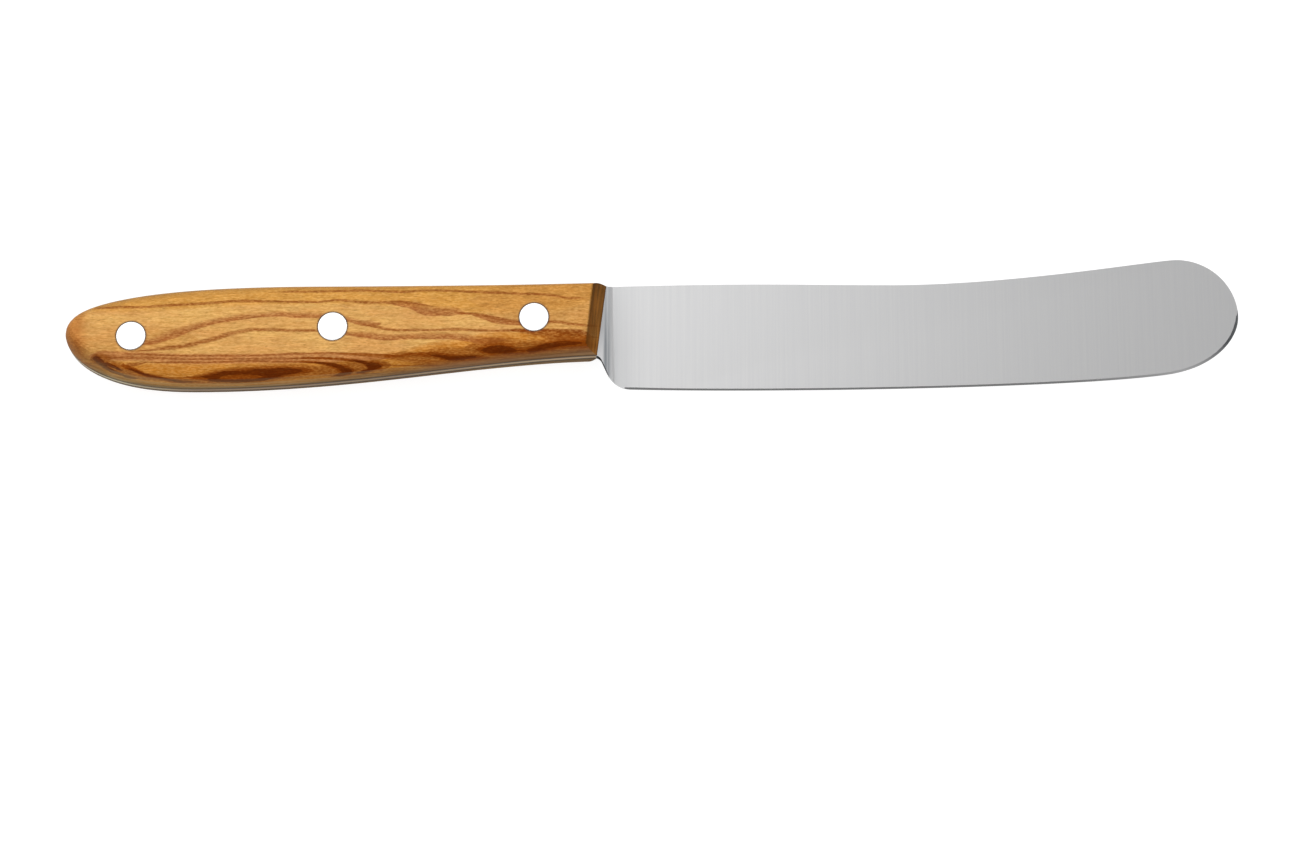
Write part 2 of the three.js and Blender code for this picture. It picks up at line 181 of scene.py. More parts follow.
GROWTH_LINES = (
    (
        (-102, -8, -8), (-100.2, -7.3, -8.3), (-99.2, -7.3, -8.1), (-98, -7.4, -7.95),
        (-96.5, -7.7, -7.7),
    ),
    (
        (-96.2, -9.3, -9.3), (-95.2, -8.85, -9.75), (-94, -8.7, -9.6), (-93, -8.6, -9.2),
        (-91.8, -8.8, -8.8),
    ),
    (
        (-72, 4.6, 4.6), (-64, 5.0, 4.4), (-58, 5.1, 4.5), (-53, 5.3, 4.6), (-46, 5.0, 4.3),
        (-40, 5.2, 4.6), (-32, 5.0, 4.3), (-25, 4.7, 4.0), (-18.5, 4.3, 3.7), (-15, 3.8, 3.1),
        (-12, 3.5, 3.5),
    ),
    (
        (-104.5, 1.2, 1.2), (-98, 2.0, 1.3), (-93, 2.1, 1.4), (-88, 2.4, 1.7), (-80, 2.9, 2.2),
        (-76, 3.2, 2.5), (-62, 3.0, 2.4), (-58, 3.4, 2.7), (-52, 3.0, 2.2), (-47, 3.1, 2.3),
        (-43, 2.7, 2.0), (-40, 1.8, 1.8),
    ),
    (
        (-96, -6.9, -6.9), (-90, -5.9, -6.7), (-87, -5.4, -6.5), (-84, -4.7, -5.9), (-80, -3.6, -4.9),
        (-76, -2.5, -3.6), (-72, -2.1, -3), (-66, -2.3, -3.2), (-60, -2.5, -3.1), (-55, -2.8, -2.8),
    ),
    (
        (-53, -1.7, -1.7), (-50, -1.8, -2.6), (-46, -2.3, -3.0), (-40, -2.3, -3.0), (-36, -2.2, -2.9),
        (-31, -2.5, -3.1), (-25, -2.4, -3.1), (-18, -2.7, -2.7),
    ),
    (
        (-37, 0.6, 0.6), (-33, 0.8, 0.1), (-29, 0.1, -0.7), (-24, -0.8, -1.5), (-18, -0.7, -1.4),
        (-15, -1.1, -1.8), (-11, -1.5, -2.1), (-8.5, -1.8, -1.8),
    ),
    (
        (-99, -7.3, -7.3), (-92, -7.1, -7.6), (-84, -7.3, -7.8), (-72, -7.3, -7.8), (-65, -7.0, -7.5),
        (-58, -6.8, -7.4), (-52, -7.1, -7.7), (-46, -7.3, -7.3),
    ),
    (
        (-101, -7.9, -7.9), (-98.5, -7.55, -8.4), (-95, -7.6, -8.35), (-90, -7.7, -8.35),
        (-84, -8, -8.45), (-76, -8, -8.45), (-68, -7.9, -8.4), (-62, -7.8, -8.3), (-58, -8, -8),
    ),
    (
        (-95, -8.9, -8.9), (-88, -8.6, -9.1), (-80, -8.6, -9.1), (-74, -8.4, -8.9), (-66, -8.4, -9.0),
        (-60, -8.6, -9.2), (-56, -8.9, -8.9),
    ),
)
WARM_HEART = (
    (
        (-26.5, -2.7, -2.7), (-24.5, -2.4, -3.3), (-23, -2.5, -3.6), (-21.5, -2.6, -4.1),
        (-20, -2.4, -4.4), (-18.5, -2.25, -5.6), (-17, -2.25, -6.2), (-14.5, -2.35, -6),
        (-13, -2.55, -5.6), (-12, -2.9, -5.2), (-11.2, -4, -4),
    ),
)
BROWN_HEART = (
    (
        (-103, -8.3, -8.3), (-101.8, -7, -9.4), (-100.5, -6.8, -10.3), (-99.3, -7.5, -10.8),
        (-98, -8.5, -11.2), (-96, -9.1, -11.8), (-93, -10.4, -12.3), (-89, -11.3, -12.7),
        (-84, -11.8, -13), (-78, -12.8, -12.8),
    ),
    (
        (-86.5, -11.7, -11.7), (-83, -11, -12.6), (-80, -10.1, -13), (-76, -9.5, -13.1),
        (-72, -9.1, -13), (-68, -8.9, -12.6), (-64, -9, -11.9), (-61, -9.2, -11.6), (-58, -8.7, -11.9),
        (-54, -8.3, -11.6), (-51, -8, -11), (-49, -8.4, -10.4), (-47.6, -9.4, -9.4),
    ),
    (
        (-58, -7.25, -7.25), (-54, -6.95, -7.7), (-51, -6.95, -8), (-48, -7, -8.4), (-45.5, -6.7, -8.8),
        (-42, -6.5, -9.8), (-39, -5.7, -10.4), (-35, -5.6, -10.3), (-31, -6.8, -9.9), (-27, -7.6, -9.2),
        (-24, -8.2, -8.2),
    ),
    (
        (-34.5, -5.9, -5.9), (-32, -4.5, -8), (-30, -3.8, -8.8), (-27, -3.6, -8.9), (-25, -4, -8.5),
        (-22.5, -4.3, -8), (-19, -3.9, -7.5), (-15, -3.6, -7.2), (-12.6, -4.1, -7.2), (-11.2, -4.4, -7),
        (-10, -5.6, -5.6),
    ),
)
DARK_HEART = (
    (
        (-102.5, -8.1, -8.1), (-101.8, -7.55, -8.9), (-101.2, -7.55, -9.5), (-100.6, -8, -9.95),
        (-100, -8.9, -10.35), (-99.2, -9.75, -10.75), (-98.2, -10.35, -11.15), (-97, -10.85, -11.55),
        (-95.5, -11.35, -12), (-93.5, -12, -12),
    ),
    (
        (-100.3, -9.1, -9.1), (-99.4, -8.75, -9.65), (-98.6, -9.1, -10), (-97.6, -9.8, -10.4),
        (-96.4, -10.6, -10.6),
    ),
    (
        (-96.2, -10, -10), (-95, -9.95, -10.55), (-94, -10.35, -11), (-93, -10.8, -11.35),
        (-92, -11.15, -11.65), (-90.5, -11.45, -11.95), (-89, -11.75, -12.25), (-87.5, -12.05, -12.5),
        (-85.5, -12.3, -12.75), (-82, -12.55, -12.55),
    ),
    (
        (-83.2, -11.6, -11.6), (-81, -11.05, -12), (-80, -10.8, -12.4), (-79, -10.5, -11.75),
        (-78, -10.4, -11.4), (-76, -10.35, -11.25), (-74, -10.3, -11.2), (-72.5, -9.95, -11.35),
        (-71, -9.85, -11.7), (-69.5, -9.75, -11.9), (-68, -9.7, -11.7), (-66.5, -9.8, -11.3),
        (-65, -10, -10.95), (-63.6, -10.45, -10.45),
    ),
    (
        (-81.5, -12.1, -12.1), (-80, -11.7, -12.6), (-78, -11.95, -12.7), (-76, -12.0, -12.75),
        (-74, -12.0, -12.6), (-72.5, -11.85, -12.5), (-71, -11.5, -12.35), (-69.5, -11.2, -12),
        (-68, -11.5, -11.5),
    ),
    (
        (-56, -8.5, -8.5), (-53.8, -8.4, -8.95), (-52.4, -8.5, -9.4), (-51.6, -8.6, -10.5),
        (-50.8, -8.75, -10.4), (-50.1, -9, -10.1), (-49.4, -9.6, -9.6),
    ),
    (
        (-55, -11, -11), (-53.5, -10.45, -11), (-52.2, -10, -10.75), (-51.2, -9.7, -10.5),
        (-50.4, -10, -10),
    ),
    (
        (-64, -8.75, -8.75), (-61.5, -8.7, -9.1), (-60, -8.8, -9.25), (-58.6, -8.95, -9.65),
        (-57.4, -9.05, -10.2), (-56.4, -9.45, -11), (-55.6, -9.8, -11.3), (-54.8, -10.6, -10.6),
    ),
    (
        (-59, -11.6, -11.6), (-57.6, -10.9, -11.6), (-56.4, -10.5, -11.4), (-55.4, -11, -11),
    ),
    (
        (-41, -7.5, -7.5), (-38.6, -7.3, -8.1), (-36.8, -7.5, -8.5), (-35, -7.5, -8.4),
        (-33.3, -7.45, -8.15), (-31.8, -7.9, -7.9),
    ),
    (
        (-31.6, -6.5, -6.5), (-30.3, -5.85, -7.1), (-28.5, -5.5, -7.3), (-26.8, -5.6, -7.3),
        (-25.5, -6, -7.1), (-24.8, -6.6, -6.6),
    ),
    (
        (-23.4, -6.6, -6.6), (-22, -5.9, -7), (-20.5, -5.4, -6.7), (-18.8, -5, -6.3),
        (-16.5, -4.8, -5.8), (-14, -4.8, -5.5), (-12.2, -5.1, -5.1),
    ),
)
RED_HEART = (
    (
        (-85.3, -11.75, -11.75), (-83, -11.3, -12.2), (-81, -10.8, -12.6), (-79, -10.2, -12.8),
        (-76, -9.9, -12.9), (-73, -9.6, -12.8), (-70, -9.4, -12.4), (-67, -9.4, -11.8),
        (-65, -9.6, -11.3), (-63, -9.9, -10.9), (-61.5, -10.4, -10.4),
    ),
    (
        (-97.2, -9.4, -9.4), (-96.4, -9, -10.1), (-95.3, -9.4, -10.5), (-94, -10.1, -11.1),
        (-92.5, -10.8, -11.7), (-90, -11.4, -12.2), (-87, -12, -12.7), (-83, -12.5, -12.5),
    ),
    (
        (-67, -8.05, -8.05), (-62, -7.8, -8.3), (-58, -7.85, -8.5), (-55.5, -8.05, -8.8),
        (-53, -8.3, -9.2), (-51.5, -8.4, -10.6), (-50.2, -8.6, -10.4), (-49.2, -9.4, -9.4),
    ),
    (
        (-66.5, -8.75, -8.75), (-63, -8.5, -9), (-60, -8.65, -9.5), (-58, -8.8, -10.3),
        (-56.5, -9.1, -11.3), (-55.2, -9.6, -11.2), (-54.5, -10.3, -10.3),
    ),
    (
        (-49.5, -7.5, -7.5), (-48, -7.25, -8.05), (-46.5, -7.25, -7.95), (-44, -6.95, -7.6),
        (-42, -6.85, -7.9), (-40, -6.8, -8.1), (-38, -6.9, -8.6), (-35, -7.2, -8.7), (-32, -7.3, -8.6),
        (-29.5, -7.9, -7.9),
    ),
    (
        (-32.5, -6.4, -6.4), (-31, -5.5, -7.3), (-29, -4.9, -7.8), (-26.5, -4.9, -7.8),
        (-25, -5.7, -7.6), (-23, -5.8, -7.4), (-21, -5.2, -7.2), (-18.5, -4.6, -6.8), (-15, -4.3, -6.3),
        (-12.8, -4.4, -6.3), (-11.3, -4.8, -6.2), (-10.2, -5.5, -5.5),
    ),
)

# Each kind of streak in the order that it is laid over the wood: colour, strength, form across, places
FIGURE = (
    ("d59a48", 0.85, FULL, GOLDEN_WOOD),
    ("c48a48", 0.6, FULL, TAN_WOOD),
    ("c8802c", 0.95, FULL, ORANGE_WOOD),
    ("bd7c4a", 0.9, FULL, PINK_BAND),
    ("a45f30", 0.9, SHARP_BELOW, PURPLE_STREAKS),
    ("9a5826", 0.9, EVEN, GROWTH_LINES),
    ("863c04", 0.9, SHARP_ABOVE, WARM_HEART),
    ("98541a", 0.9, SOFT, BROWN_HEART),
    ("8a4208", 1.1, SOFT, RED_HEART),
    ("682a02", 1.3, SOFT, DARK_HEART),
)

# Room that the streaks are drawn in, in millimetres
FIGURE_X = (-112.0, -6.0)
FIGURE_Y = (-18.0, 10.0)
# A streak thinner than this fades out
TAPER = 0.4
# The wood's layers lean back by this many millimetres for each of a scale's thickness
LAYER_LEAN = 0.281

# Patterns in the wood, in repeats to the millimetre along, across and through a scale
WANDER = (0.09, 0.3, 0.3)
FIBRES = (0.3, 4.0, 1.2)
FLECKS = (1.5, 4.0, 4.0)
CLOUDS = (0.1, 0.4, 0.4)
PORES = (1.0, 4.5, 4.5)
MOTTLING = (0.35, 1.2, 1.2)
SIDE_SANDING = (0.04, 0.7, 1.5)
END_SANDING = (1.5, 0.1, 1.5)

# How far the growth wanders and the fibres feather a streak, in millimetres either way
WANDERING = {"To Min": -0.12, "To Max": 0.12}
FEATHERING = {"To Min": -0.22, "To Max": 0.22}

# The part of a pattern that counts, and what it gives
CLOUD_SHARE = {"From Min": 0.35, "From Max": 0.65}
FIBRE_SHARE = {"From Min": 0.25, "From Max": 0.75}
FLECK_SHARE = {"From Min": 0.3, "From Max": 0.7}
PORE_SHARE = {"From Min": 0.56, "From Max": 0.75, "To Max": 0.4}
MOTTLE_SHADE = {"From Min": 0.3, "From Max": 0.7, "To Min": 0.9, "To Max": 1.08}
SIDE_SHADE = {"From Min": 0.4, "From Max": 0.6, "To Min": 0.66, "To Max": 1.3}
END_SHADE = {"From Min": 0.4, "From Max": 0.6, "To Min": 0.68, "To Max": 1.3}
STREAK_BREAKS = {"From Min": 0.65, "From Max": 0.4}
STREAK_LEAST = 0.7
WOOD_ROUGHNESS = {"To Min": 0.42, "To Max": 0.56}

# Where butt, sides, back and front end take a tone of their own: by place in millimetres, or by facing,
# which paints shade
BUTT_PLACE = {"From Min": -102.6, "From Max": -105.4}
RIM_SIDE = (-0.75, -0.66, 0)
RIM_FACING = {"From Min": 0.4, "From Max": 0.95, "To Max": 0.9}
RIM_PLACE = {"From Min": -99.0, "From Max": -102.5}
FORWARD_PLACE = {"From Min": -90.0, "From Max": -30.0}
SIDE_START = {"To Min": 0.74, "To Max": 0.4}
SIDE_FACING = {"From Max": 0.12, "To Max": 0.85}
SIDE_PLACE = {"From Min": -104.5, "From Max": -101.0, "To Min": 0.3}
BACK_FACING = {"From Min": 0.35, "From Max": 0.9, "To Max": 0.4}
END_OUTWARD = {"From Min": 7.5, "From Max": 10.5}
END_UPPER_SHADE = {"From Min": 3.5, "From Max": 6.5, "To Min": 1.0, "To Max": 0.6}
END_FACING = {"From Min": 0.4, "From Max": 0.8, "To Max": 0.9}

# Painted shade in the wood, in the gap around a rivet's head and along the tang: millimetres, and strength
RIVET_SHADE_WIDTH = 0.35
RIVET_GAP_SHADE_STRENGTH = 0.8
TANG_SHADE_WIDTH = 0.7
TANG_SHADE_STRENGTH = 0.7

# How the fibres and flecks tint the wood, as shares of linear red, green and blue
FIBRE_DARK = (0.84, 0.77, 0.66, 1)
FIBRE_LIGHT = (1.12, 1.14, 1.18, 1)
FLECK_DARK = (0.88, 0.83, 0.74, 1)
FLECK_LIGHT = (1.1, 1.13, 1.18, 1)

# Tones of the wood. The sides, which carry painted shade and a grey painted sheen, go from the rear to the
# front
PALE_HONEY = "e0b068"
RED_HONEY = "d9a25f"
PORE_BROWN = "7a4a1c"
RIVET_GAP_SHADE = "5a4640"
BUTT_TINT = "e6cbb7"
RIM_GRAIN_AND_SHADE = "cbb79a"
RIGHT_SIDES_SHADED = ("968460", "826346")
LEFT_SIDES_SHADED = ("62502f", "5c4a2c")
BACK_SHADE_BROWN = "946630"
END_INNER = "855420"
END_OUTER_SHADED = "60360a"
TANG_GAP_SHADE = "50371f"

# The oil's index of refraction, and how little of its shine is left
OIL_IOR = 1.5
OIL_SHINE = 0.02

# The left scale's figure is the right one's, turned over and moved towards the edge by this much
LEFT_SHIFT = -6


def shape(mapping, spots):
    """Draws a curve smoothly through its places, level beyond both ends."""
    mapping.extend = "HORIZONTAL"
    points = mapping.curves[0].points
    points[0].location = spots[0]
    points[1].location = spots[-1]
    for spot in spots[1:-1]:
        points.new(*spot)
    for point in points:
        point.handle_type = "AUTO_CLAMPED"
    mapping.update()


def streaks(tree, along, height, form, rows):
    """How strongly one kind of streak shows, from 0 to 1."""
    (left, right), (low, high) = FIGURE_X, FIGURE_Y
    strongest = 0.0
    for row in rows:
        lower, thick = (add(tree, "ShaderNodeFloatCurve", {"Value": along}) for _ in range(2))
        above = add(tree, "ShaderNodeMath", {0: height, 1: lower}, operation="SUBTRACT")
        across = add(tree, "ShaderNodeMath", {0: above, 1: thick}, operation="DIVIDE")
        shown = add(tree, "ShaderNodeFloatCurve", {"Value": across})
        for curve, spots in (
            (lower, [((x - left) / (right - left), (foot - low) / (high - low)) for x, _, foot in row]),
            (thick, [((x - left) / (right - left), (top - foot) / (high - low)) for x, top, foot in row]),
            (shown, form),
        ):
            shape(curve.node.mapping, spots)
        full = add(tree, "ShaderNodeMapRange", {"Value": thick, "From Max": TAPER / (high - low)})
        shown = add(tree, "ShaderNodeMath", {0: shown, 1: full}, operation="MULTIPLY")
        strongest = add(tree, "ShaderNodeMath", {0: shown, 1: strongest}, operation="MAXIMUM")
    return strongest


def olive_wood(name, turn, shift, shaded_side_tones):
    """Olive wood, sanded fine and oiled: honey-coloured with thin brown growth lines, purple-brown streaks
    and a dark heart that the rounded underside cuts into contours. The oil leaves it nearly matt. Its
    sides, back, lower rim, outer front end and the seams at the steel and rivets carry painted shade."""
    material, tree = new_material(name)
    place = add(tree, "ShaderNodeTexCoord").node.outputs
    grain = add(
        tree,
        "ShaderNodeMapping",
        {"Vector": place["Object"], "Scale": (1 / MM, 1 / MM, 1 / MM), "Rotation": turn, "Location": shift},
    )
    x, y, z = add(tree, "ShaderNodeSeparateXYZ", {0: grain}).node.outputs
    tipward, backward, upward = add(tree, "ShaderNodeSeparateXYZ", {0: place["Normal"]}).node.outputs

    # The growth wanders slowly along the handle
    wander_at = add(tree, "ShaderNodeVectorMath", {0: grain, 1: WANDER}, operation="MULTIPLY")
    wander = add(tree, "ShaderNodeTexNoise", {"Vector": wander_at, "Scale": 1.0, "Detail": 2.0})
    wander = add(tree, "ShaderNodeMapRange", {"Value": wander, **WANDERING})
    leaning = add(tree, "ShaderNodeMath", {0: z, 1: LAYER_LEAN, 2: y}, operation="MULTIPLY_ADD")
    layer = add(tree, "ShaderNodeMath", {0: leaning, 1: wander}, operation="ADD")
    layer = add(tree, "ShaderNodeMath", {0: layer, 1: LAYER_LEAN * FACE_HEIGHT}, operation="SUBTRACT")
    laid = add(tree, "ShaderNodeCombineXYZ", {0: x, 1: layer, 2: z})

    # Fibres, finer than the eye resolves at this distance, drawn about 0.25 mm wide
    fibre_at = add(tree, "ShaderNodeVectorMath", {0: laid, 1: FIBRES}, operation="MULTIPLY")
    fibre = add(
        tree,
        "ShaderNodeTexNoise",
        {"Vector": fibre_at, "Scale": 1.0, "Detail": 3.0, "Roughness": 0.6},
    )
    # Flecks where the fibres are cut across, about 0.7 mm long
    fleck_at = add(tree, "ShaderNodeVectorMath", {0: laid, 1: FLECKS}, operation="MULTIPLY")
    fleck = add(tree, "ShaderNodeTexNoise", {"Vector": fleck_at, "Scale": 1.0, "Detail": 1.0})
    # Clouds of paler and redder wood, about 10 mm long
    cloud_at = add(tree, "ShaderNodeVectorMath", {0: grain, 1: CLOUDS}, operation="MULTIPLY")
    cloud = add(tree, "ShaderNodeTexNoise", {"Vector": cloud_at, "Scale": 1.0, "Detail": 2.0})
    # Pores, 1 to 2 mm long and drawn 0.2 mm wide
    pore_at = add(tree, "ShaderNodeVectorMath", {0: laid, 1: PORES}, operation="MULTIPLY")
    pore = add(tree, "ShaderNodeTexNoise", {"Vector": pore_at, "Scale": 1.0, "Detail": 2.0})
    # Mottling, about 3 mm long
    mottle_at = add(tree, "ShaderNodeVectorMath", {0: laid, 1: MOTTLING}, operation="MULTIPLY")
    mottle = add(tree, "ShaderNodeTexNoise", {"Vector": mottle_at, "Scale": 1.0, "Detail": 2.0})

    # The streaks are feathered by the fibres at their sides, and broken by the flecks
    feather = add(tree, "ShaderNodeMapRange", {"Value": fibre, **FEATHERING})
    feathered = add(tree, "ShaderNodeMath", {0: layer, 1: feather}, operation="ADD")
    along = add(tree, "ShaderNodeMapRange", {"Value": x, "From Min": FIGURE_X[0], "From Max": FIGURE_X[1]})
    low, high = FIGURE_Y
    height = add(tree, "ShaderNodeMapRange", {"Value": feathered, "From Min": low, "From Max": high})
    redder = add(tree, "ShaderNodeMapRange", {"Value": cloud, **CLOUD_SHARE})
    colour = add(
        tree, "ShaderNodeMix", {0: redder, 6: linear(PALE_HONEY), 7: linear(RED_HONEY)}, **LAID_OVER
    )
    for tone, strength, form, rows in FIGURE:
        mask = streaks(tree, along, height, form, rows)
        uneven = add(
            tree,
            "ShaderNodeMapRange",
            {"Value": fleck, **STREAK_BREAKS, "To Min": STREAK_LEAST * strength, "To Max": strength},
        )
        mask = add(tree, "ShaderNodeMath", {0: mask, 1: uneven}, operation="MULTIPLY")
        colour = add(tree, "ShaderNodeMix", {0: mask, 6: colour, 7: linear(tone)}, **LAID_OVER)

    # Fibres, mottling, flecks and pores shade all of it
    lit = add(tree, "ShaderNodeMapRange", {"Value": fibre, **FIBRE_SHARE})
    tint = add(tree, "ShaderNodeMix", {0: lit, 6: FIBRE_DARK, 7: FIBRE_LIGHT}, **LAID_OVER)
    colour = add(tree, "ShaderNodeMix", {0: 1.0, 6: colour, 7: tint}, **TINTED)
    shade = add(tree, "ShaderNodeMapRange", {"Value": mottle, **MOTTLE_SHADE})
    colour = add(tree, "ShaderNodeMix", {0: 1.0, 6: colour, 7: shade}, **TINTED)
    lit = add(tree, "ShaderNodeMapRange", {"Value": fleck, **FLECK_SHARE})
    tint = add(tree, "ShaderNodeMix", {0: lit, 6: FLECK_DARK, 7: FLECK_LIGHT}, **LAID_OVER)
    colour = add(tree, "ShaderNodeMix", {0: 1.0, 6: colour, 7: tint}, **TINTED)
    pore = add(tree, "ShaderNodeMapRange", {"Value": pore, **PORE_SHARE})
    colour = add(tree, "ShaderNodeMix", {0: pore, 6: colour, 7: linear(PORE_BROWN)}, **LAID_OVER)

    # A thin dark ring of painted shade, where the gap at the head's rim lies, rings each rivet
    level_scale = (1 / MM, 1 / MM, 0)
    level = add(tree, "ShaderNodeVectorMath", {0: place["Object"], 1: level_scale}, operation="MULTIPLY")
    seam_shade = 0.0
    for middle, radius in HEADS:
        axis = (middle.x / MM, middle.y / MM, 0)
        away = add(tree, "ShaderNodeVectorMath", {0: level, 1: axis}, out="Value", operation="DISTANCE")
        ring = add(
            tree,
            "ShaderNodeMapRange",
            {
                "Value": away,
                "From Min": radius / MM,
                "From Max": radius / MM + RIVET_SHADE_WIDTH,
                "To Min": RIVET_GAP_SHADE_STRENGTH,
                "To Max": 0.0,
            },
        )
        seam_shade = add(tree, "ShaderNodeMath", {0: ring, 1: seam_shade}, operation="MAXIMUM")
    colour = add(tree, "ShaderNodeMix", {0: seam_shade, 6: colour, 7: linear(RIVET_GAP_SHADE)}, **LAID_OVER)

    # The butt is redder, and the rim at its lower corner darker: end grain there, and painted shade by
    # which way the rim faces
    butt = add(
        tree, "ShaderNodeMapRange", {"Value": x, **BUTT_PLACE}, interpolation_type="SMOOTHSTEP"
    )
    colour = add(tree, "ShaderNodeMix", {0: butt, 6: colour, 7: linear(BUTT_TINT)}, **TINTED)
    faced = {0: place["Normal"], 1: RIM_SIDE}
    rim_grain_and_shade = add(tree, "ShaderNodeVectorMath", faced, out="Value", operation="DOT_PRODUCT")
    rim_grain_and_shade = add(tree, "ShaderNodeMapRange", {"Value": rim_grain_and_shade, **RIM_FACING})
    rear = add(tree, "ShaderNodeMapRange", {"Value": x, **RIM_PLACE})
    rim_grain_and_shade = add(tree, "ShaderNodeMath", {0: rim_grain_and_shade, 1: rear}, operation="MULTIPLY")
    colour = add(tree, "ShaderNodeMix", {0: rim_grain_and_shade, 6: colour, 7: linear(RIM_GRAIN_AND_SHADE)}, **TINTED)

    # The narrow upright sides get a greyer painted shade with a grey painted sheen, darker on the left
    # scale, with sanding marks along them, about 0.7 mm wide
    forward = add(tree, "ShaderNodeMapRange", {"Value": x, **FORWARD_PLACE})
    start = add(tree, "ShaderNodeMapRange", {"Value": forward, **SIDE_START})
    upright = add(tree, "ShaderNodeMath", {0: upward}, operation="ABSOLUTE")
    upright = add(tree, "ShaderNodeMapRange", {"Value": upright, "From Min": start, **SIDE_FACING})
    sideways = add(tree, "ShaderNodeMapRange", {"Value": x, **SIDE_PLACE})
    upright = add(tree, "ShaderNodeMath", {0: upright, 1: sideways}, operation="MULTIPLY")
    sand_at = add(tree, "ShaderNodeVectorMath", {0: grain, 1: SIDE_SANDING}, operation="MULTIPLY")
    sand = add(tree, "ShaderNodeTexNoise", {"Vector": sand_at, "Scale": 1.0, "Detail": 2.0})
    shade = add(tree, "ShaderNodeMapRange", {"Value": sand, **SIDE_SHADE})
    rear_tone, front_tone = map(linear, shaded_side_tones)
    shaded_side_tone = add(tree, "ShaderNodeMix", {0: forward, 6: rear_tone, 7: front_tone}, **LAID_OVER)
    shaded_side_tone = add(tree, "ShaderNodeMix", {0: 1.0, 6: shaded_side_tone, 7: shade}, **TINTED)
    colour = add(tree, "ShaderNodeMix", {0: upright, 6: colour, 7: shaded_side_tone}, **LAID_OVER)
    # The rounded back edge takes a darker tone of painted shade, by its facing
    back = add(tree, "ShaderNodeMapRange", {"Value": backward, **BACK_FACING})
    colour = add(tree, "ShaderNodeMix", {0: back, 6: colour, 7: linear(BACK_SHADE_BROWN)}, **LAID_OVER)

    # The end grain of the front drinks more oil and is dark, with sanding marks about 0.7 mm wide; towards
    # the outer face and the top it is darker still by painted shade
    outward = add(tree, "ShaderNodeMapRange", {"Value": z, **END_OUTWARD})
    inner_tone, outer_tone = linear(END_INNER), linear(END_OUTER_SHADED)
    end_tone = add(tree, "ShaderNodeMix", {0: outward, 6: inner_tone, 7: outer_tone}, **LAID_OVER)
    sand_at = add(tree, "ShaderNodeVectorMath", {0: grain, 1: END_SANDING}, operation="MULTIPLY")
    sand = add(tree, "ShaderNodeTexNoise", {"Vector": sand_at, "Scale": 1.0, "Detail": 2.0})
    shade = add(tree, "ShaderNodeMapRange", {"Value": sand, **END_SHADE})
    end_tone = add(tree, "ShaderNodeMix", {0: 1.0, 6: end_tone, 7: shade}, **TINTED)
    upper = add(tree, "ShaderNodeMapRange", {"Value": y, **END_UPPER_SHADE})
    end_tone = add(tree, "ShaderNodeMix", {0: 1.0, 6: end_tone, 7: upper}, **TINTED)
    front = add(tree, "ShaderNodeMapRange", {"Value": tipward, **END_FACING})
    colour = add(tree, "ShaderNodeMix", {0: front, 6: colour, 7: end_tone}, **LAID_OVER)

    # Painted shade runs along the steel, where the wood meets the tang
    aside = add(tree, "ShaderNodeMath", {0: z, 1: FACE_HEIGHT / 2}, operation="SUBTRACT")
    aside = add(tree, "ShaderNodeMath", {0: aside}, operation="ABSOLUTE")
    seam_shade = add(
        tree,
        "ShaderNodeMapRange",
        {
            "Value": aside,
            "From Min": HALF_TANG,
            "From Max": HALF_TANG + TANG_SHADE_WIDTH,
            "To Min": TANG_SHADE_STRENGTH,
            "To Max": 0.0,
        },
    )
    colour = add(tree, "ShaderNodeMix", {0: seam_shade, 6: colour, 7: linear(TANG_GAP_SHADE)}, **LAID_OVER)

    rough = add(tree, "ShaderNodeMapRange", {"Value": fibre, **WOOD_ROUGHNESS})
    shader = add(
        tree,
        "ShaderNodeBsdfPrincipled",
        {"Base Color": colour, "Roughness": rough, "IOR": OIL_IOR, "Specular IOR Level": OIL_SHINE},
    )
    add(tree, "ShaderNodeOutputMaterial", {"Surface": shader})
    return material


# Steel

# Grinding lines, in repeats to the millimetre along the blade, across it and through it
GRINDING = (3.2, 0.03, 0.03)
GRINDING_SHARE = {"From Min": 0.3, "From Max": 0.7}
GRINDING_DARK = "c7c7c8"
GRINDING_LIGHT = "cbcbcb"
STEEL_ROUGHNESS = {"To Min": 0.35, "To Max": 0.32}
STEEL_SPREAD = 0.6

# The crease where the blade's grind begins, and how much painted shade darkens the steel behind and before
# it: (mm, share)
PLUNGE = -8.55
CREASE_SHADE = (
    (-1, 0), (-0.8, 0.1), (-0.5, 0.5), (-0.33, 0.8), (-0.15, 1.0), (0.04, 0.78), (0.22, 0.58), (0.4, 0.8),
    (0.6, 0.58), (0.77, 0.4), (0.96, 0.16), (1.14, 0.05), (1.33, 0.1), (1.5, 0.3), (1.7, 0.25), (2.25, 0.2),
    (2.9, 0.16), (3.6, 0.12), (4.4, 0.09), (5.5, 0.05), (7.5, 0),
)
CREASE_SHADE_GREY = "7e8184"
# The crease's painted shade grows towards the edge, and that on the strip of flat steel behind it towards
# the spine
CREASE_PLACE = {"From Min": 6.0, "From Max": -5.0, "To Min": 0.62, "To Max": 1.08}
STRIP_HEIGHT = {"From Min": -1.0, "From Max": -7.2, "To Min": 0.56, "To Max": 0.08}
STRIP_PLACE = {"From Min": PLUNGE - 0.3, "From Max": PLUNGE, "To Min": 1.0, "To Max": 0.0}

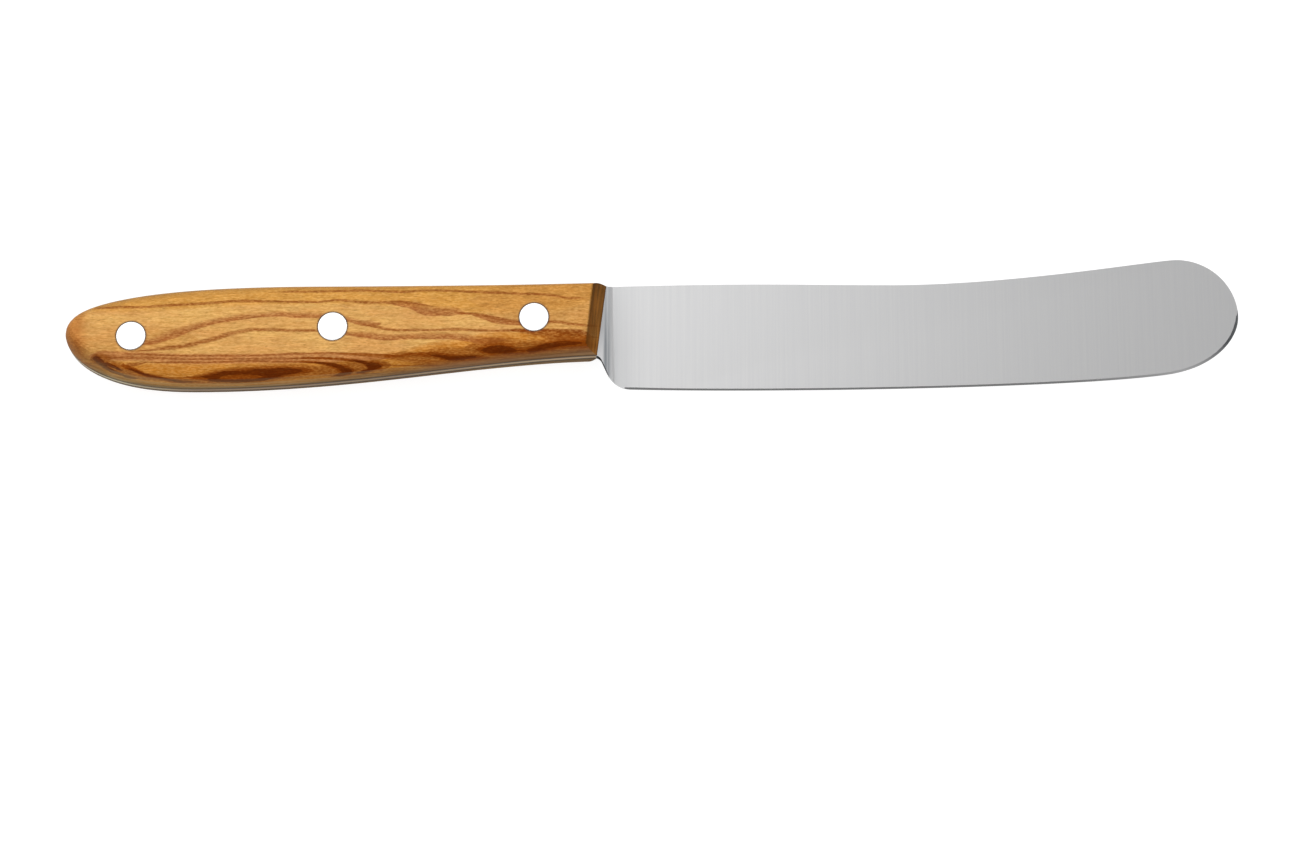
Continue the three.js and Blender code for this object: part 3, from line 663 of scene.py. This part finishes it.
# Edges of the tang: from the front of the scales, along the handle and from its middle, in millimetres; the
# corners beside the scales take a painted shade
TANG_PLACE = {"From Min": -0.3, "From Max": 0.0, "To Min": 1.0, "To Max": 0.0}
TANG_MIDDLE = {"From Min": -98.0, "From Max": -84.0}
TANG_FRONT = {"From Min": -50.0, "From Max": -15.0}
TANG_CORNER = {"From Min": 0.25, "From Max": 0.7}
TANG_DULLNESS = 0.45
TANG_REAR_TONE = "bcaf92"
TANG_MIDDLE_TONE = "977e62"
TANG_FRONT_TONE = "b89e7c"
TANG_CORNER_SHADE = "362a1a"

# The honed edge, by place in millimetres or by facing; round the tip the facing sets a painted shade
TIP_PLACE = {"From Min": 75.0, "From Max": 100.0}
TIP_FACING = {"From Min": 0.1, "From Max": 0.3}
TIP_SHADE_GREY = "56585a"
HONED_FACING = {"From Min": -0.1, "From Max": -0.25}
HONED_ROUGHNESS = {"To Min": -0.12, "To Max": 0.1}

# The narrow edge of the notch between tang and heel, which is dull and painted dark as shade
CUT_FACING = {"From Min": 0.6, "From Max": 0.3}
NOTCH_PLACE = {"From Min": PLUNGE + 0.2, "From Max": PLUNGE + 0.7, "To Min": 1.0, "To Max": 0.0}
NOTCH_SHADE_GREY = "1e1f20"


def ground_steel():
    """Stainless steel, ground across the blade: the fine lines spread the light along it, so the flat is a
    calm grey that falls off slowly. The tang's edge, sanded with the scales, and the edge round the tip are
    duller.
    The crease of the grind, the tang's corners by the scales, the edge round the tip and the notch's edge
    are painted darker as shade."""
    material, tree = new_material("cross-ground stainless steel")
    place = add(tree, "ShaderNodeTexCoord").node.outputs
    grid = add(tree, "ShaderNodeVectorMath", {0: place["Object"], "Scale": 1 / MM}, operation="SCALE")
    x, y, z = add(tree, "ShaderNodeSeparateXYZ", {0: grid}).node.outputs
    tipward, backward, upward = add(tree, "ShaderNodeSeparateXYZ", {0: place["Normal"]}).node.outputs

    # Grinding lines, finer than the eye resolves at this distance, drawn about 0.3 mm wide
    lines_at = add(tree, "ShaderNodeVectorMath", {0: grid, 1: GRINDING}, operation="MULTIPLY")
    lines = add(
        tree,
        "ShaderNodeTexNoise",
        {"Vector": lines_at, "Scale": 1.0, "Detail": 3.0, "Roughness": 0.6},
    )
    lines = add(tree, "ShaderNodeMapRange", {"Value": lines, **GRINDING_SHARE})
    dark, light = linear(GRINDING_DARK), linear(GRINDING_LIGHT)
    colour = add(tree, "ShaderNodeMix", {0: lines, 6: dark, 7: light}, **LAID_OVER)
    rough = add(tree, "ShaderNodeMapRange", {"Value": lines, **STEEL_ROUGHNESS})

    # In the corner of the grind, and on the strip of flat steel behind it, the steel is painted darker as
    # shade
    behind, before = CREASE_SHADE[0][0], CREASE_SHADE[-1][0]
    ahead = add(tree, "ShaderNodeMath", {0: x, 1: PLUNGE}, operation="SUBTRACT")
    ahead = add(tree, "ShaderNodeMapRange", {"Value": ahead, "From Min": behind, "From Max": before})
    corner = add(tree, "ShaderNodeFloatCurve", {"Value": ahead})
    shape(corner.node.mapping, [((mm - behind) / (before - behind), share) for mm, share in CREASE_SHADE])
    lower = add(tree, "ShaderNodeMapRange", {"Value": y, **CREASE_PLACE})
    corner = add(tree, "ShaderNodeMath", {0: corner, 1: lower}, operation="MULTIPLY")
    strip = add(tree, "ShaderNodeMapRange", {"Value": y, **STRIP_HEIGHT})
    inside = add(tree, "ShaderNodeMapRange", {"Value": x, **STRIP_PLACE})
    strip = add(tree, "ShaderNodeMath", {0: strip, 1: inside}, operation="MULTIPLY")
    corner = add(tree, "ShaderNodeMath", {0: corner, 1: strip}, operation="MAXIMUM")
    colour = add(tree, "ShaderNodeMix", {0: corner, 6: colour, 7: linear(CREASE_SHADE_GREY)}, **LAID_OVER)

    # Behind it, only the edges of the tang show, with painted shade along either scale
    foot = add(tree, "ShaderNodeMath", {0: y, 1: -FRONT_SLANT, 2: x}, operation="MULTIPLY_ADD")
    foot = add(tree, "ShaderNodeMath", {0: foot, 1: FRONT_FOOT}, operation="SUBTRACT")
    tang = add(tree, "ShaderNodeMapRange", {"Value": foot, **TANG_PLACE})
    rear_tone, middle_tone = linear(TANG_REAR_TONE), linear(TANG_MIDDLE_TONE)
    inward = add(tree, "ShaderNodeMapRange", {"Value": x, **TANG_MIDDLE})
    edge_tone = add(tree, "ShaderNodeMix", {0: inward, 6: rear_tone, 7: middle_tone}, **LAID_OVER)
    front = add(tree, "ShaderNodeMapRange", {"Value": x, **TANG_FRONT})
    front_tone = linear(TANG_FRONT_TONE)
    edge_tone = add(tree, "ShaderNodeMix", {0: front, 6: edge_tone, 7: front_tone}, **LAID_OVER)
    colour = add(tree, "ShaderNodeMix", {0: tang, 6: colour, 7: edge_tone}, **LAID_OVER)
    aside = add(tree, "ShaderNodeMath", {0: z, 1: FACE_HEIGHT / 2}, operation="SUBTRACT")
    aside = add(tree, "ShaderNodeMath", {0: aside}, operation="ABSOLUTE")
    seam_shade = add(tree, "ShaderNodeMapRange", {"Value": aside, **TANG_CORNER})
    seam_shade = add(tree, "ShaderNodeMath", {0: seam_shade, 1: tang}, operation="MULTIPLY")
    colour = add(tree, "ShaderNodeMix", {0: seam_shade, 6: colour, 7: linear(TANG_CORNER_SHADE)}, **LAID_OVER)
    rough = add(tree, "ShaderNodeMath", {0: tang, 1: TANG_DULLNESS, 2: rough}, operation="MULTIPLY_ADD")

    # The honed edge is finer, but round the tip, where the hone turns, it is duller, and by its facing
    # painted darker as shade
    tip = add(tree, "ShaderNodeMapRange", {"Value": x, **TIP_PLACE})
    fine = add(tree, "ShaderNodeMapRange", {"Value": tip, **HONED_ROUGHNESS})
    honed = add(tree, "ShaderNodeMapRange", {"Value": backward, **HONED_FACING, "To Max": fine})
    rough = add(tree, "ShaderNodeMath", {0: rough, 1: honed}, operation="ADD")
    tip_shade = add(tree, "ShaderNodeMapRange", {"Value": tipward, **TIP_FACING})
    tip_shade = add(tree, "ShaderNodeMath", {0: tip_shade, 1: tip}, operation="MULTIPLY")
    colour = add(tree, "ShaderNodeMix", {0: tip_shade, 6: colour, 7: linear(TIP_SHADE_GREY)}, **LAID_OVER)

    # The narrow edge of the notch is dull, and painted dark as shade
    upright = add(tree, "ShaderNodeMath", {0: upward}, operation="ABSOLUTE")
    notch_dullness_and_shade = add(tree, "ShaderNodeMapRange", {"Value": upright, **CUT_FACING})
    notch = add(tree, "ShaderNodeMapRange", {"Value": x, **NOTCH_PLACE})
    bare = add(tree, "ShaderNodeMath", {0: notch, 1: tang}, operation="SUBTRACT", use_clamp=True)
    notch_dullness_and_shade = add(tree, "ShaderNodeMath", {0: notch_dullness_and_shade, 1: bare}, operation="MULTIPLY")
    rough = add(tree, "ShaderNodeMath", {0: rough, 1: notch_dullness_and_shade}, operation="MAXIMUM")
    colour = add(tree, "ShaderNodeMix", {0: notch_dullness_and_shade, 6: colour, 7: linear(NOTCH_SHADE_GREY)}, **LAID_OVER)

    along = add(tree, "ShaderNodeCombineXYZ", {0: 1.0, 1: 0.0, 2: 0.0})
    shader = add(
        tree,
        "ShaderNodeBsdfPrincipled",
        {
            "Base Color": colour,
            "Metallic": 1.0,
            "Roughness": rough,
            "Anisotropic": STEEL_SPREAD,
            "Tangent": along,
        },
    )
    add(tree, "ShaderNodeOutputMaterial", {"Surface": shader})
    return material


# Aluminium

# Sanding lines, in millimetres along the handle, across it and through it
RIVET_SANDING = (6.0, 0.2, 0.2)
RIVET_ROUGHNESS = {"To Min": 0.2, "To Max": 0.32}
RIVET_WHITE = "f4f4f5"


def sanded_aluminium():
    """Aluminium, sanded flush with the wood along the handle: nearly white, with faint lines."""
    material, tree = new_material("sanded aluminium")
    place = add(tree, "ShaderNodeTexCoord", out="Object")
    repeats = [1 / (size * MM) for size in RIVET_SANDING]
    lines_at = add(tree, "ShaderNodeVectorMath", {0: place, 1: repeats}, operation="MULTIPLY")
    lines = add(tree, "ShaderNodeTexNoise", {"Vector": lines_at, "Scale": 1.0, "Detail": 2.0})
    rough = add(tree, "ShaderNodeMapRange", {"Value": lines, **RIVET_ROUGHNESS})
    shader = add(
        tree,
        "ShaderNodeBsdfPrincipled",
        {"Base Color": linear(RIVET_WHITE), "Metallic": 1.0, "Roughness": rough},
    )
    add(tree, "ShaderNodeOutputMaterial", {"Surface": shader})
    return material


# Pieces


def on_a_rivet(edge):
    """Whether an edge runs round a rivet's hole."""
    for middle, radius in HEADS:
        if all((vert.co - middle).xy.length < radius + RIVET_SHADE_WIDTH * MM for vert in edge.verts):
            return True
    return False


def smooth_copy(node, name, material, slot, arris):
    """A smooth copy of a CAD node's solid, with its sharp edges broken by a small rounding."""
    mesh = bpy.data.meshes.new(name)
    bm = bmesh.new()
    bm.from_mesh(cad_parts[node].data)
    bmesh.ops.remove_doubles(bm, verts=bm.verts, dist=WELD * MM)
    bmesh.ops.dissolve_limit(bm, angle_limit=math.radians(FLAT_ANGLE), verts=bm.verts, edges=bm.edges)
    weights = bm.edges.layers.float.new("bevel_weight_edge")
    for face in bm.faces:
        face.smooth = True
    for edge in bm.edges:
        angle = edge.calc_face_angle(math.pi)
        edge.smooth = angle < math.radians(SMOOTH_ANGLE)
        round_hole = slot == "olive_wood" and on_a_rivet(edge)
        edge[weights] = float(angle > math.radians(ARRIS_ANGLE) and not round_hole)
    bm.to_mesh(mesh)
    bm.free()
    mesh.materials.clear()
    mesh.materials.append(material)
    piece = bpy.data.objects.new(name, mesh)
    bpy.context.scene.collection.objects.link(piece)
    if arris:
        bevel = piece.modifiers.new("arris", "BEVEL")
        bevel.width = arris * MM
        bevel.segments = ARRIS_STEPS
        bevel.limit_method = "WEIGHT"
    piece.modifiers.new("flat faces stay flat", "WEIGHTED_NORMAL").keep_sharp = True
    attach(piece, "root")
    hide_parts(node)


steel = ground_steel()
right_wood = olive_wood("oiled olive wood, right", (0, 0, 0), (0, 0, 0), RIGHT_SIDES_SHADED)
turned_over = (math.pi, 0, 0)
left_wood = olive_wood("oiled olive wood, left", turned_over, (0, LEFT_SHIFT, FACE_HEIGHT), LEFT_SIDES_SHADED)
aluminium = sanded_aluminium()

smooth_copy("blade", "ground_blade", steel, "blade_steel", NO_ARRIS)
smooth_copy("right_scale", "right_scale_sanded", right_wood, "olive_wood", WOOD_ARRIS)
smooth_copy("left_scale", "left_scale_sanded", left_wood, "olive_wood", WOOD_ARRIS)
for rivet in RIVETS:
    for half in ("tube", "pin"):
        node = f"rivet_{half}_{rivet}"
        smooth_copy(node, f"{node}_sanded", aluminium, "rivet_aluminium", RIVET_ARRIS)


# Stage

# Half the floor's side in metres, how much light it gives back, and how white it shows
FLOOR_SIZE = 3.0
FLOOR_MATT = 0.3
FLOOR_GLOW = 0.86


def pale_floor():
    """Matt white card: it shows white, and keeps a faint shadow."""
    material, tree = new_material("matt white card")
    rays = add(tree, "ShaderNodeLightPath").node.outputs
    shown = 0.0
    for ray in ("Is Camera Ray", "Is Glossy Ray", "Is Transmission Ray"):
        shown = add(tree, "ShaderNodeMath", {0: rays[ray], 1: shown}, operation="MAXIMUM")
    glow = add(tree, "ShaderNodeMath", {0: shown, 1: FLOOR_GLOW}, operation="MULTIPLY")
    matt = add(tree, "ShaderNodeBsdfDiffuse", {"Color": (FLOOR_MATT, FLOOR_MATT, FLOOR_MATT, 1)})
    lift = add(tree, "ShaderNodeEmission", {"Color": (1, 1, 1, 1), "Strength": glow})
    both = add(tree, "ShaderNodeAddShader", {0: matt, 1: lift})
    add(tree, "ShaderNodeOutputMaterial", {"Surface": both})
    return material


mesh = bpy.data.meshes.new("floor")
bm = bmesh.new()
bmesh.ops.create_grid(bm, x_segments=1, y_segments=1, size=FLOOR_SIZE)
bm.to_mesh(mesh)
bm.free()
mesh.materials.append(pale_floor())
floor = bpy.data.objects.new("floor", mesh)
bpy.context.scene.collection.objects.link(floor)


def aim(thing, place, target):
    """Puts a lamp or the camera in its place, facing its target, both in millimetres."""
    thing.location = Vector(place) * MM
    thing.rotation_euler = (Vector(target) - Vector(place)).to_track_quat("-Z", "Y").to_euler()


# Light

# The room is a pale tent, brightest half way up, with a darker opening behind the camera. Its brightness
# goes by height, the sine of the elevation: (height, share of the level)
ROOM_LEVEL = 1.46
ROOM = ((0, 0.3), (0.15, 0.6), (0.35, 1.0), (0.6, 0.9), (0.8, 0.5), (0.93, 0.3), (1, 0.27))
# The opening's direction, the cosines of the angles where it begins and is full, and its share of the light
OPENING = Vector((0.1, -0.5, 0.86)).normalized()
OPENING_EDGE = 0.77
OPENING_CORE = 0.94
OPENING_LEVEL = 0.5
# The softbox, in millimetres
SOFTBOX_PLACE = (-250, 200, 620)
SOFTBOX_TARGET = (-100, 0, 0)
SOFTBOX_SIZE = (560, 460)
SOFTBOX_RADIANCE = 1.25

world = bpy.data.worlds.new("studio")
bpy.context.scene.world = world
world.use_nodes = True
tree = world.node_tree
tree.nodes.clear()
direction = add(tree, "ShaderNodeTexCoord", out="Generated")
up = add(tree, "ShaderNodeSeparateXYZ", {0: direction}).node.outputs["Z"]
tent = add(tree, "ShaderNodeFloatCurve", {"Value": up})
shape(tent.node.mapping, ROOM)
tent = add(tree, "ShaderNodeMath", {0: tent, 1: ROOM_LEVEL}, operation="MULTIPLY")
turned = add(tree, "ShaderNodeVectorMath", {0: direction, 1: OPENING}, out="Value", operation="DOT_PRODUCT")
shut = add(
    tree,
    "ShaderNodeMapRange",
    {
        "Value": turned,
        "From Min": OPENING_EDGE,
        "From Max": OPENING_CORE,
        "To Min": 1.0,
        "To Max": OPENING_LEVEL,
    },
    interpolation_type="SMOOTHSTEP",
)
level = add(tree, "ShaderNodeMath", {0: tent, 1: shut}, operation="MULTIPLY")
air = add(tree, "ShaderNodeBackground", {"Color": (1, 1, 1, 1), "Strength": level})
add(tree, "ShaderNodeOutputWorld", {"Surface": air})

light = bpy.data.lights.new("softbox", "AREA")
light.shape = "RECTANGLE"
light.size = SOFTBOX_SIZE[0] * MM
light.size_y = SOFTBOX_SIZE[1] * MM
light.energy = SOFTBOX_RADIANCE * math.pi * light.size * light.size_y
softbox = bpy.data.objects.new("softbox", light)
bpy.context.scene.collection.objects.link(softbox)
aim(softbox, SOFTBOX_PLACE, SOFTBOX_TARGET)

# Camera

lens = bpy.data.cameras.new("camera")
lens.lens = LENS
lens.sensor_width = SENSOR
camera = bpy.data.objects.new("camera", lens)
bpy.context.scene.collection.objects.link(camera)
aim(camera, CAMERA_PLACE, CAMERA_TARGET)
bpy.context.scene.camera = camera
bpy.context.scene.view_settings.view_transform = "Standard"
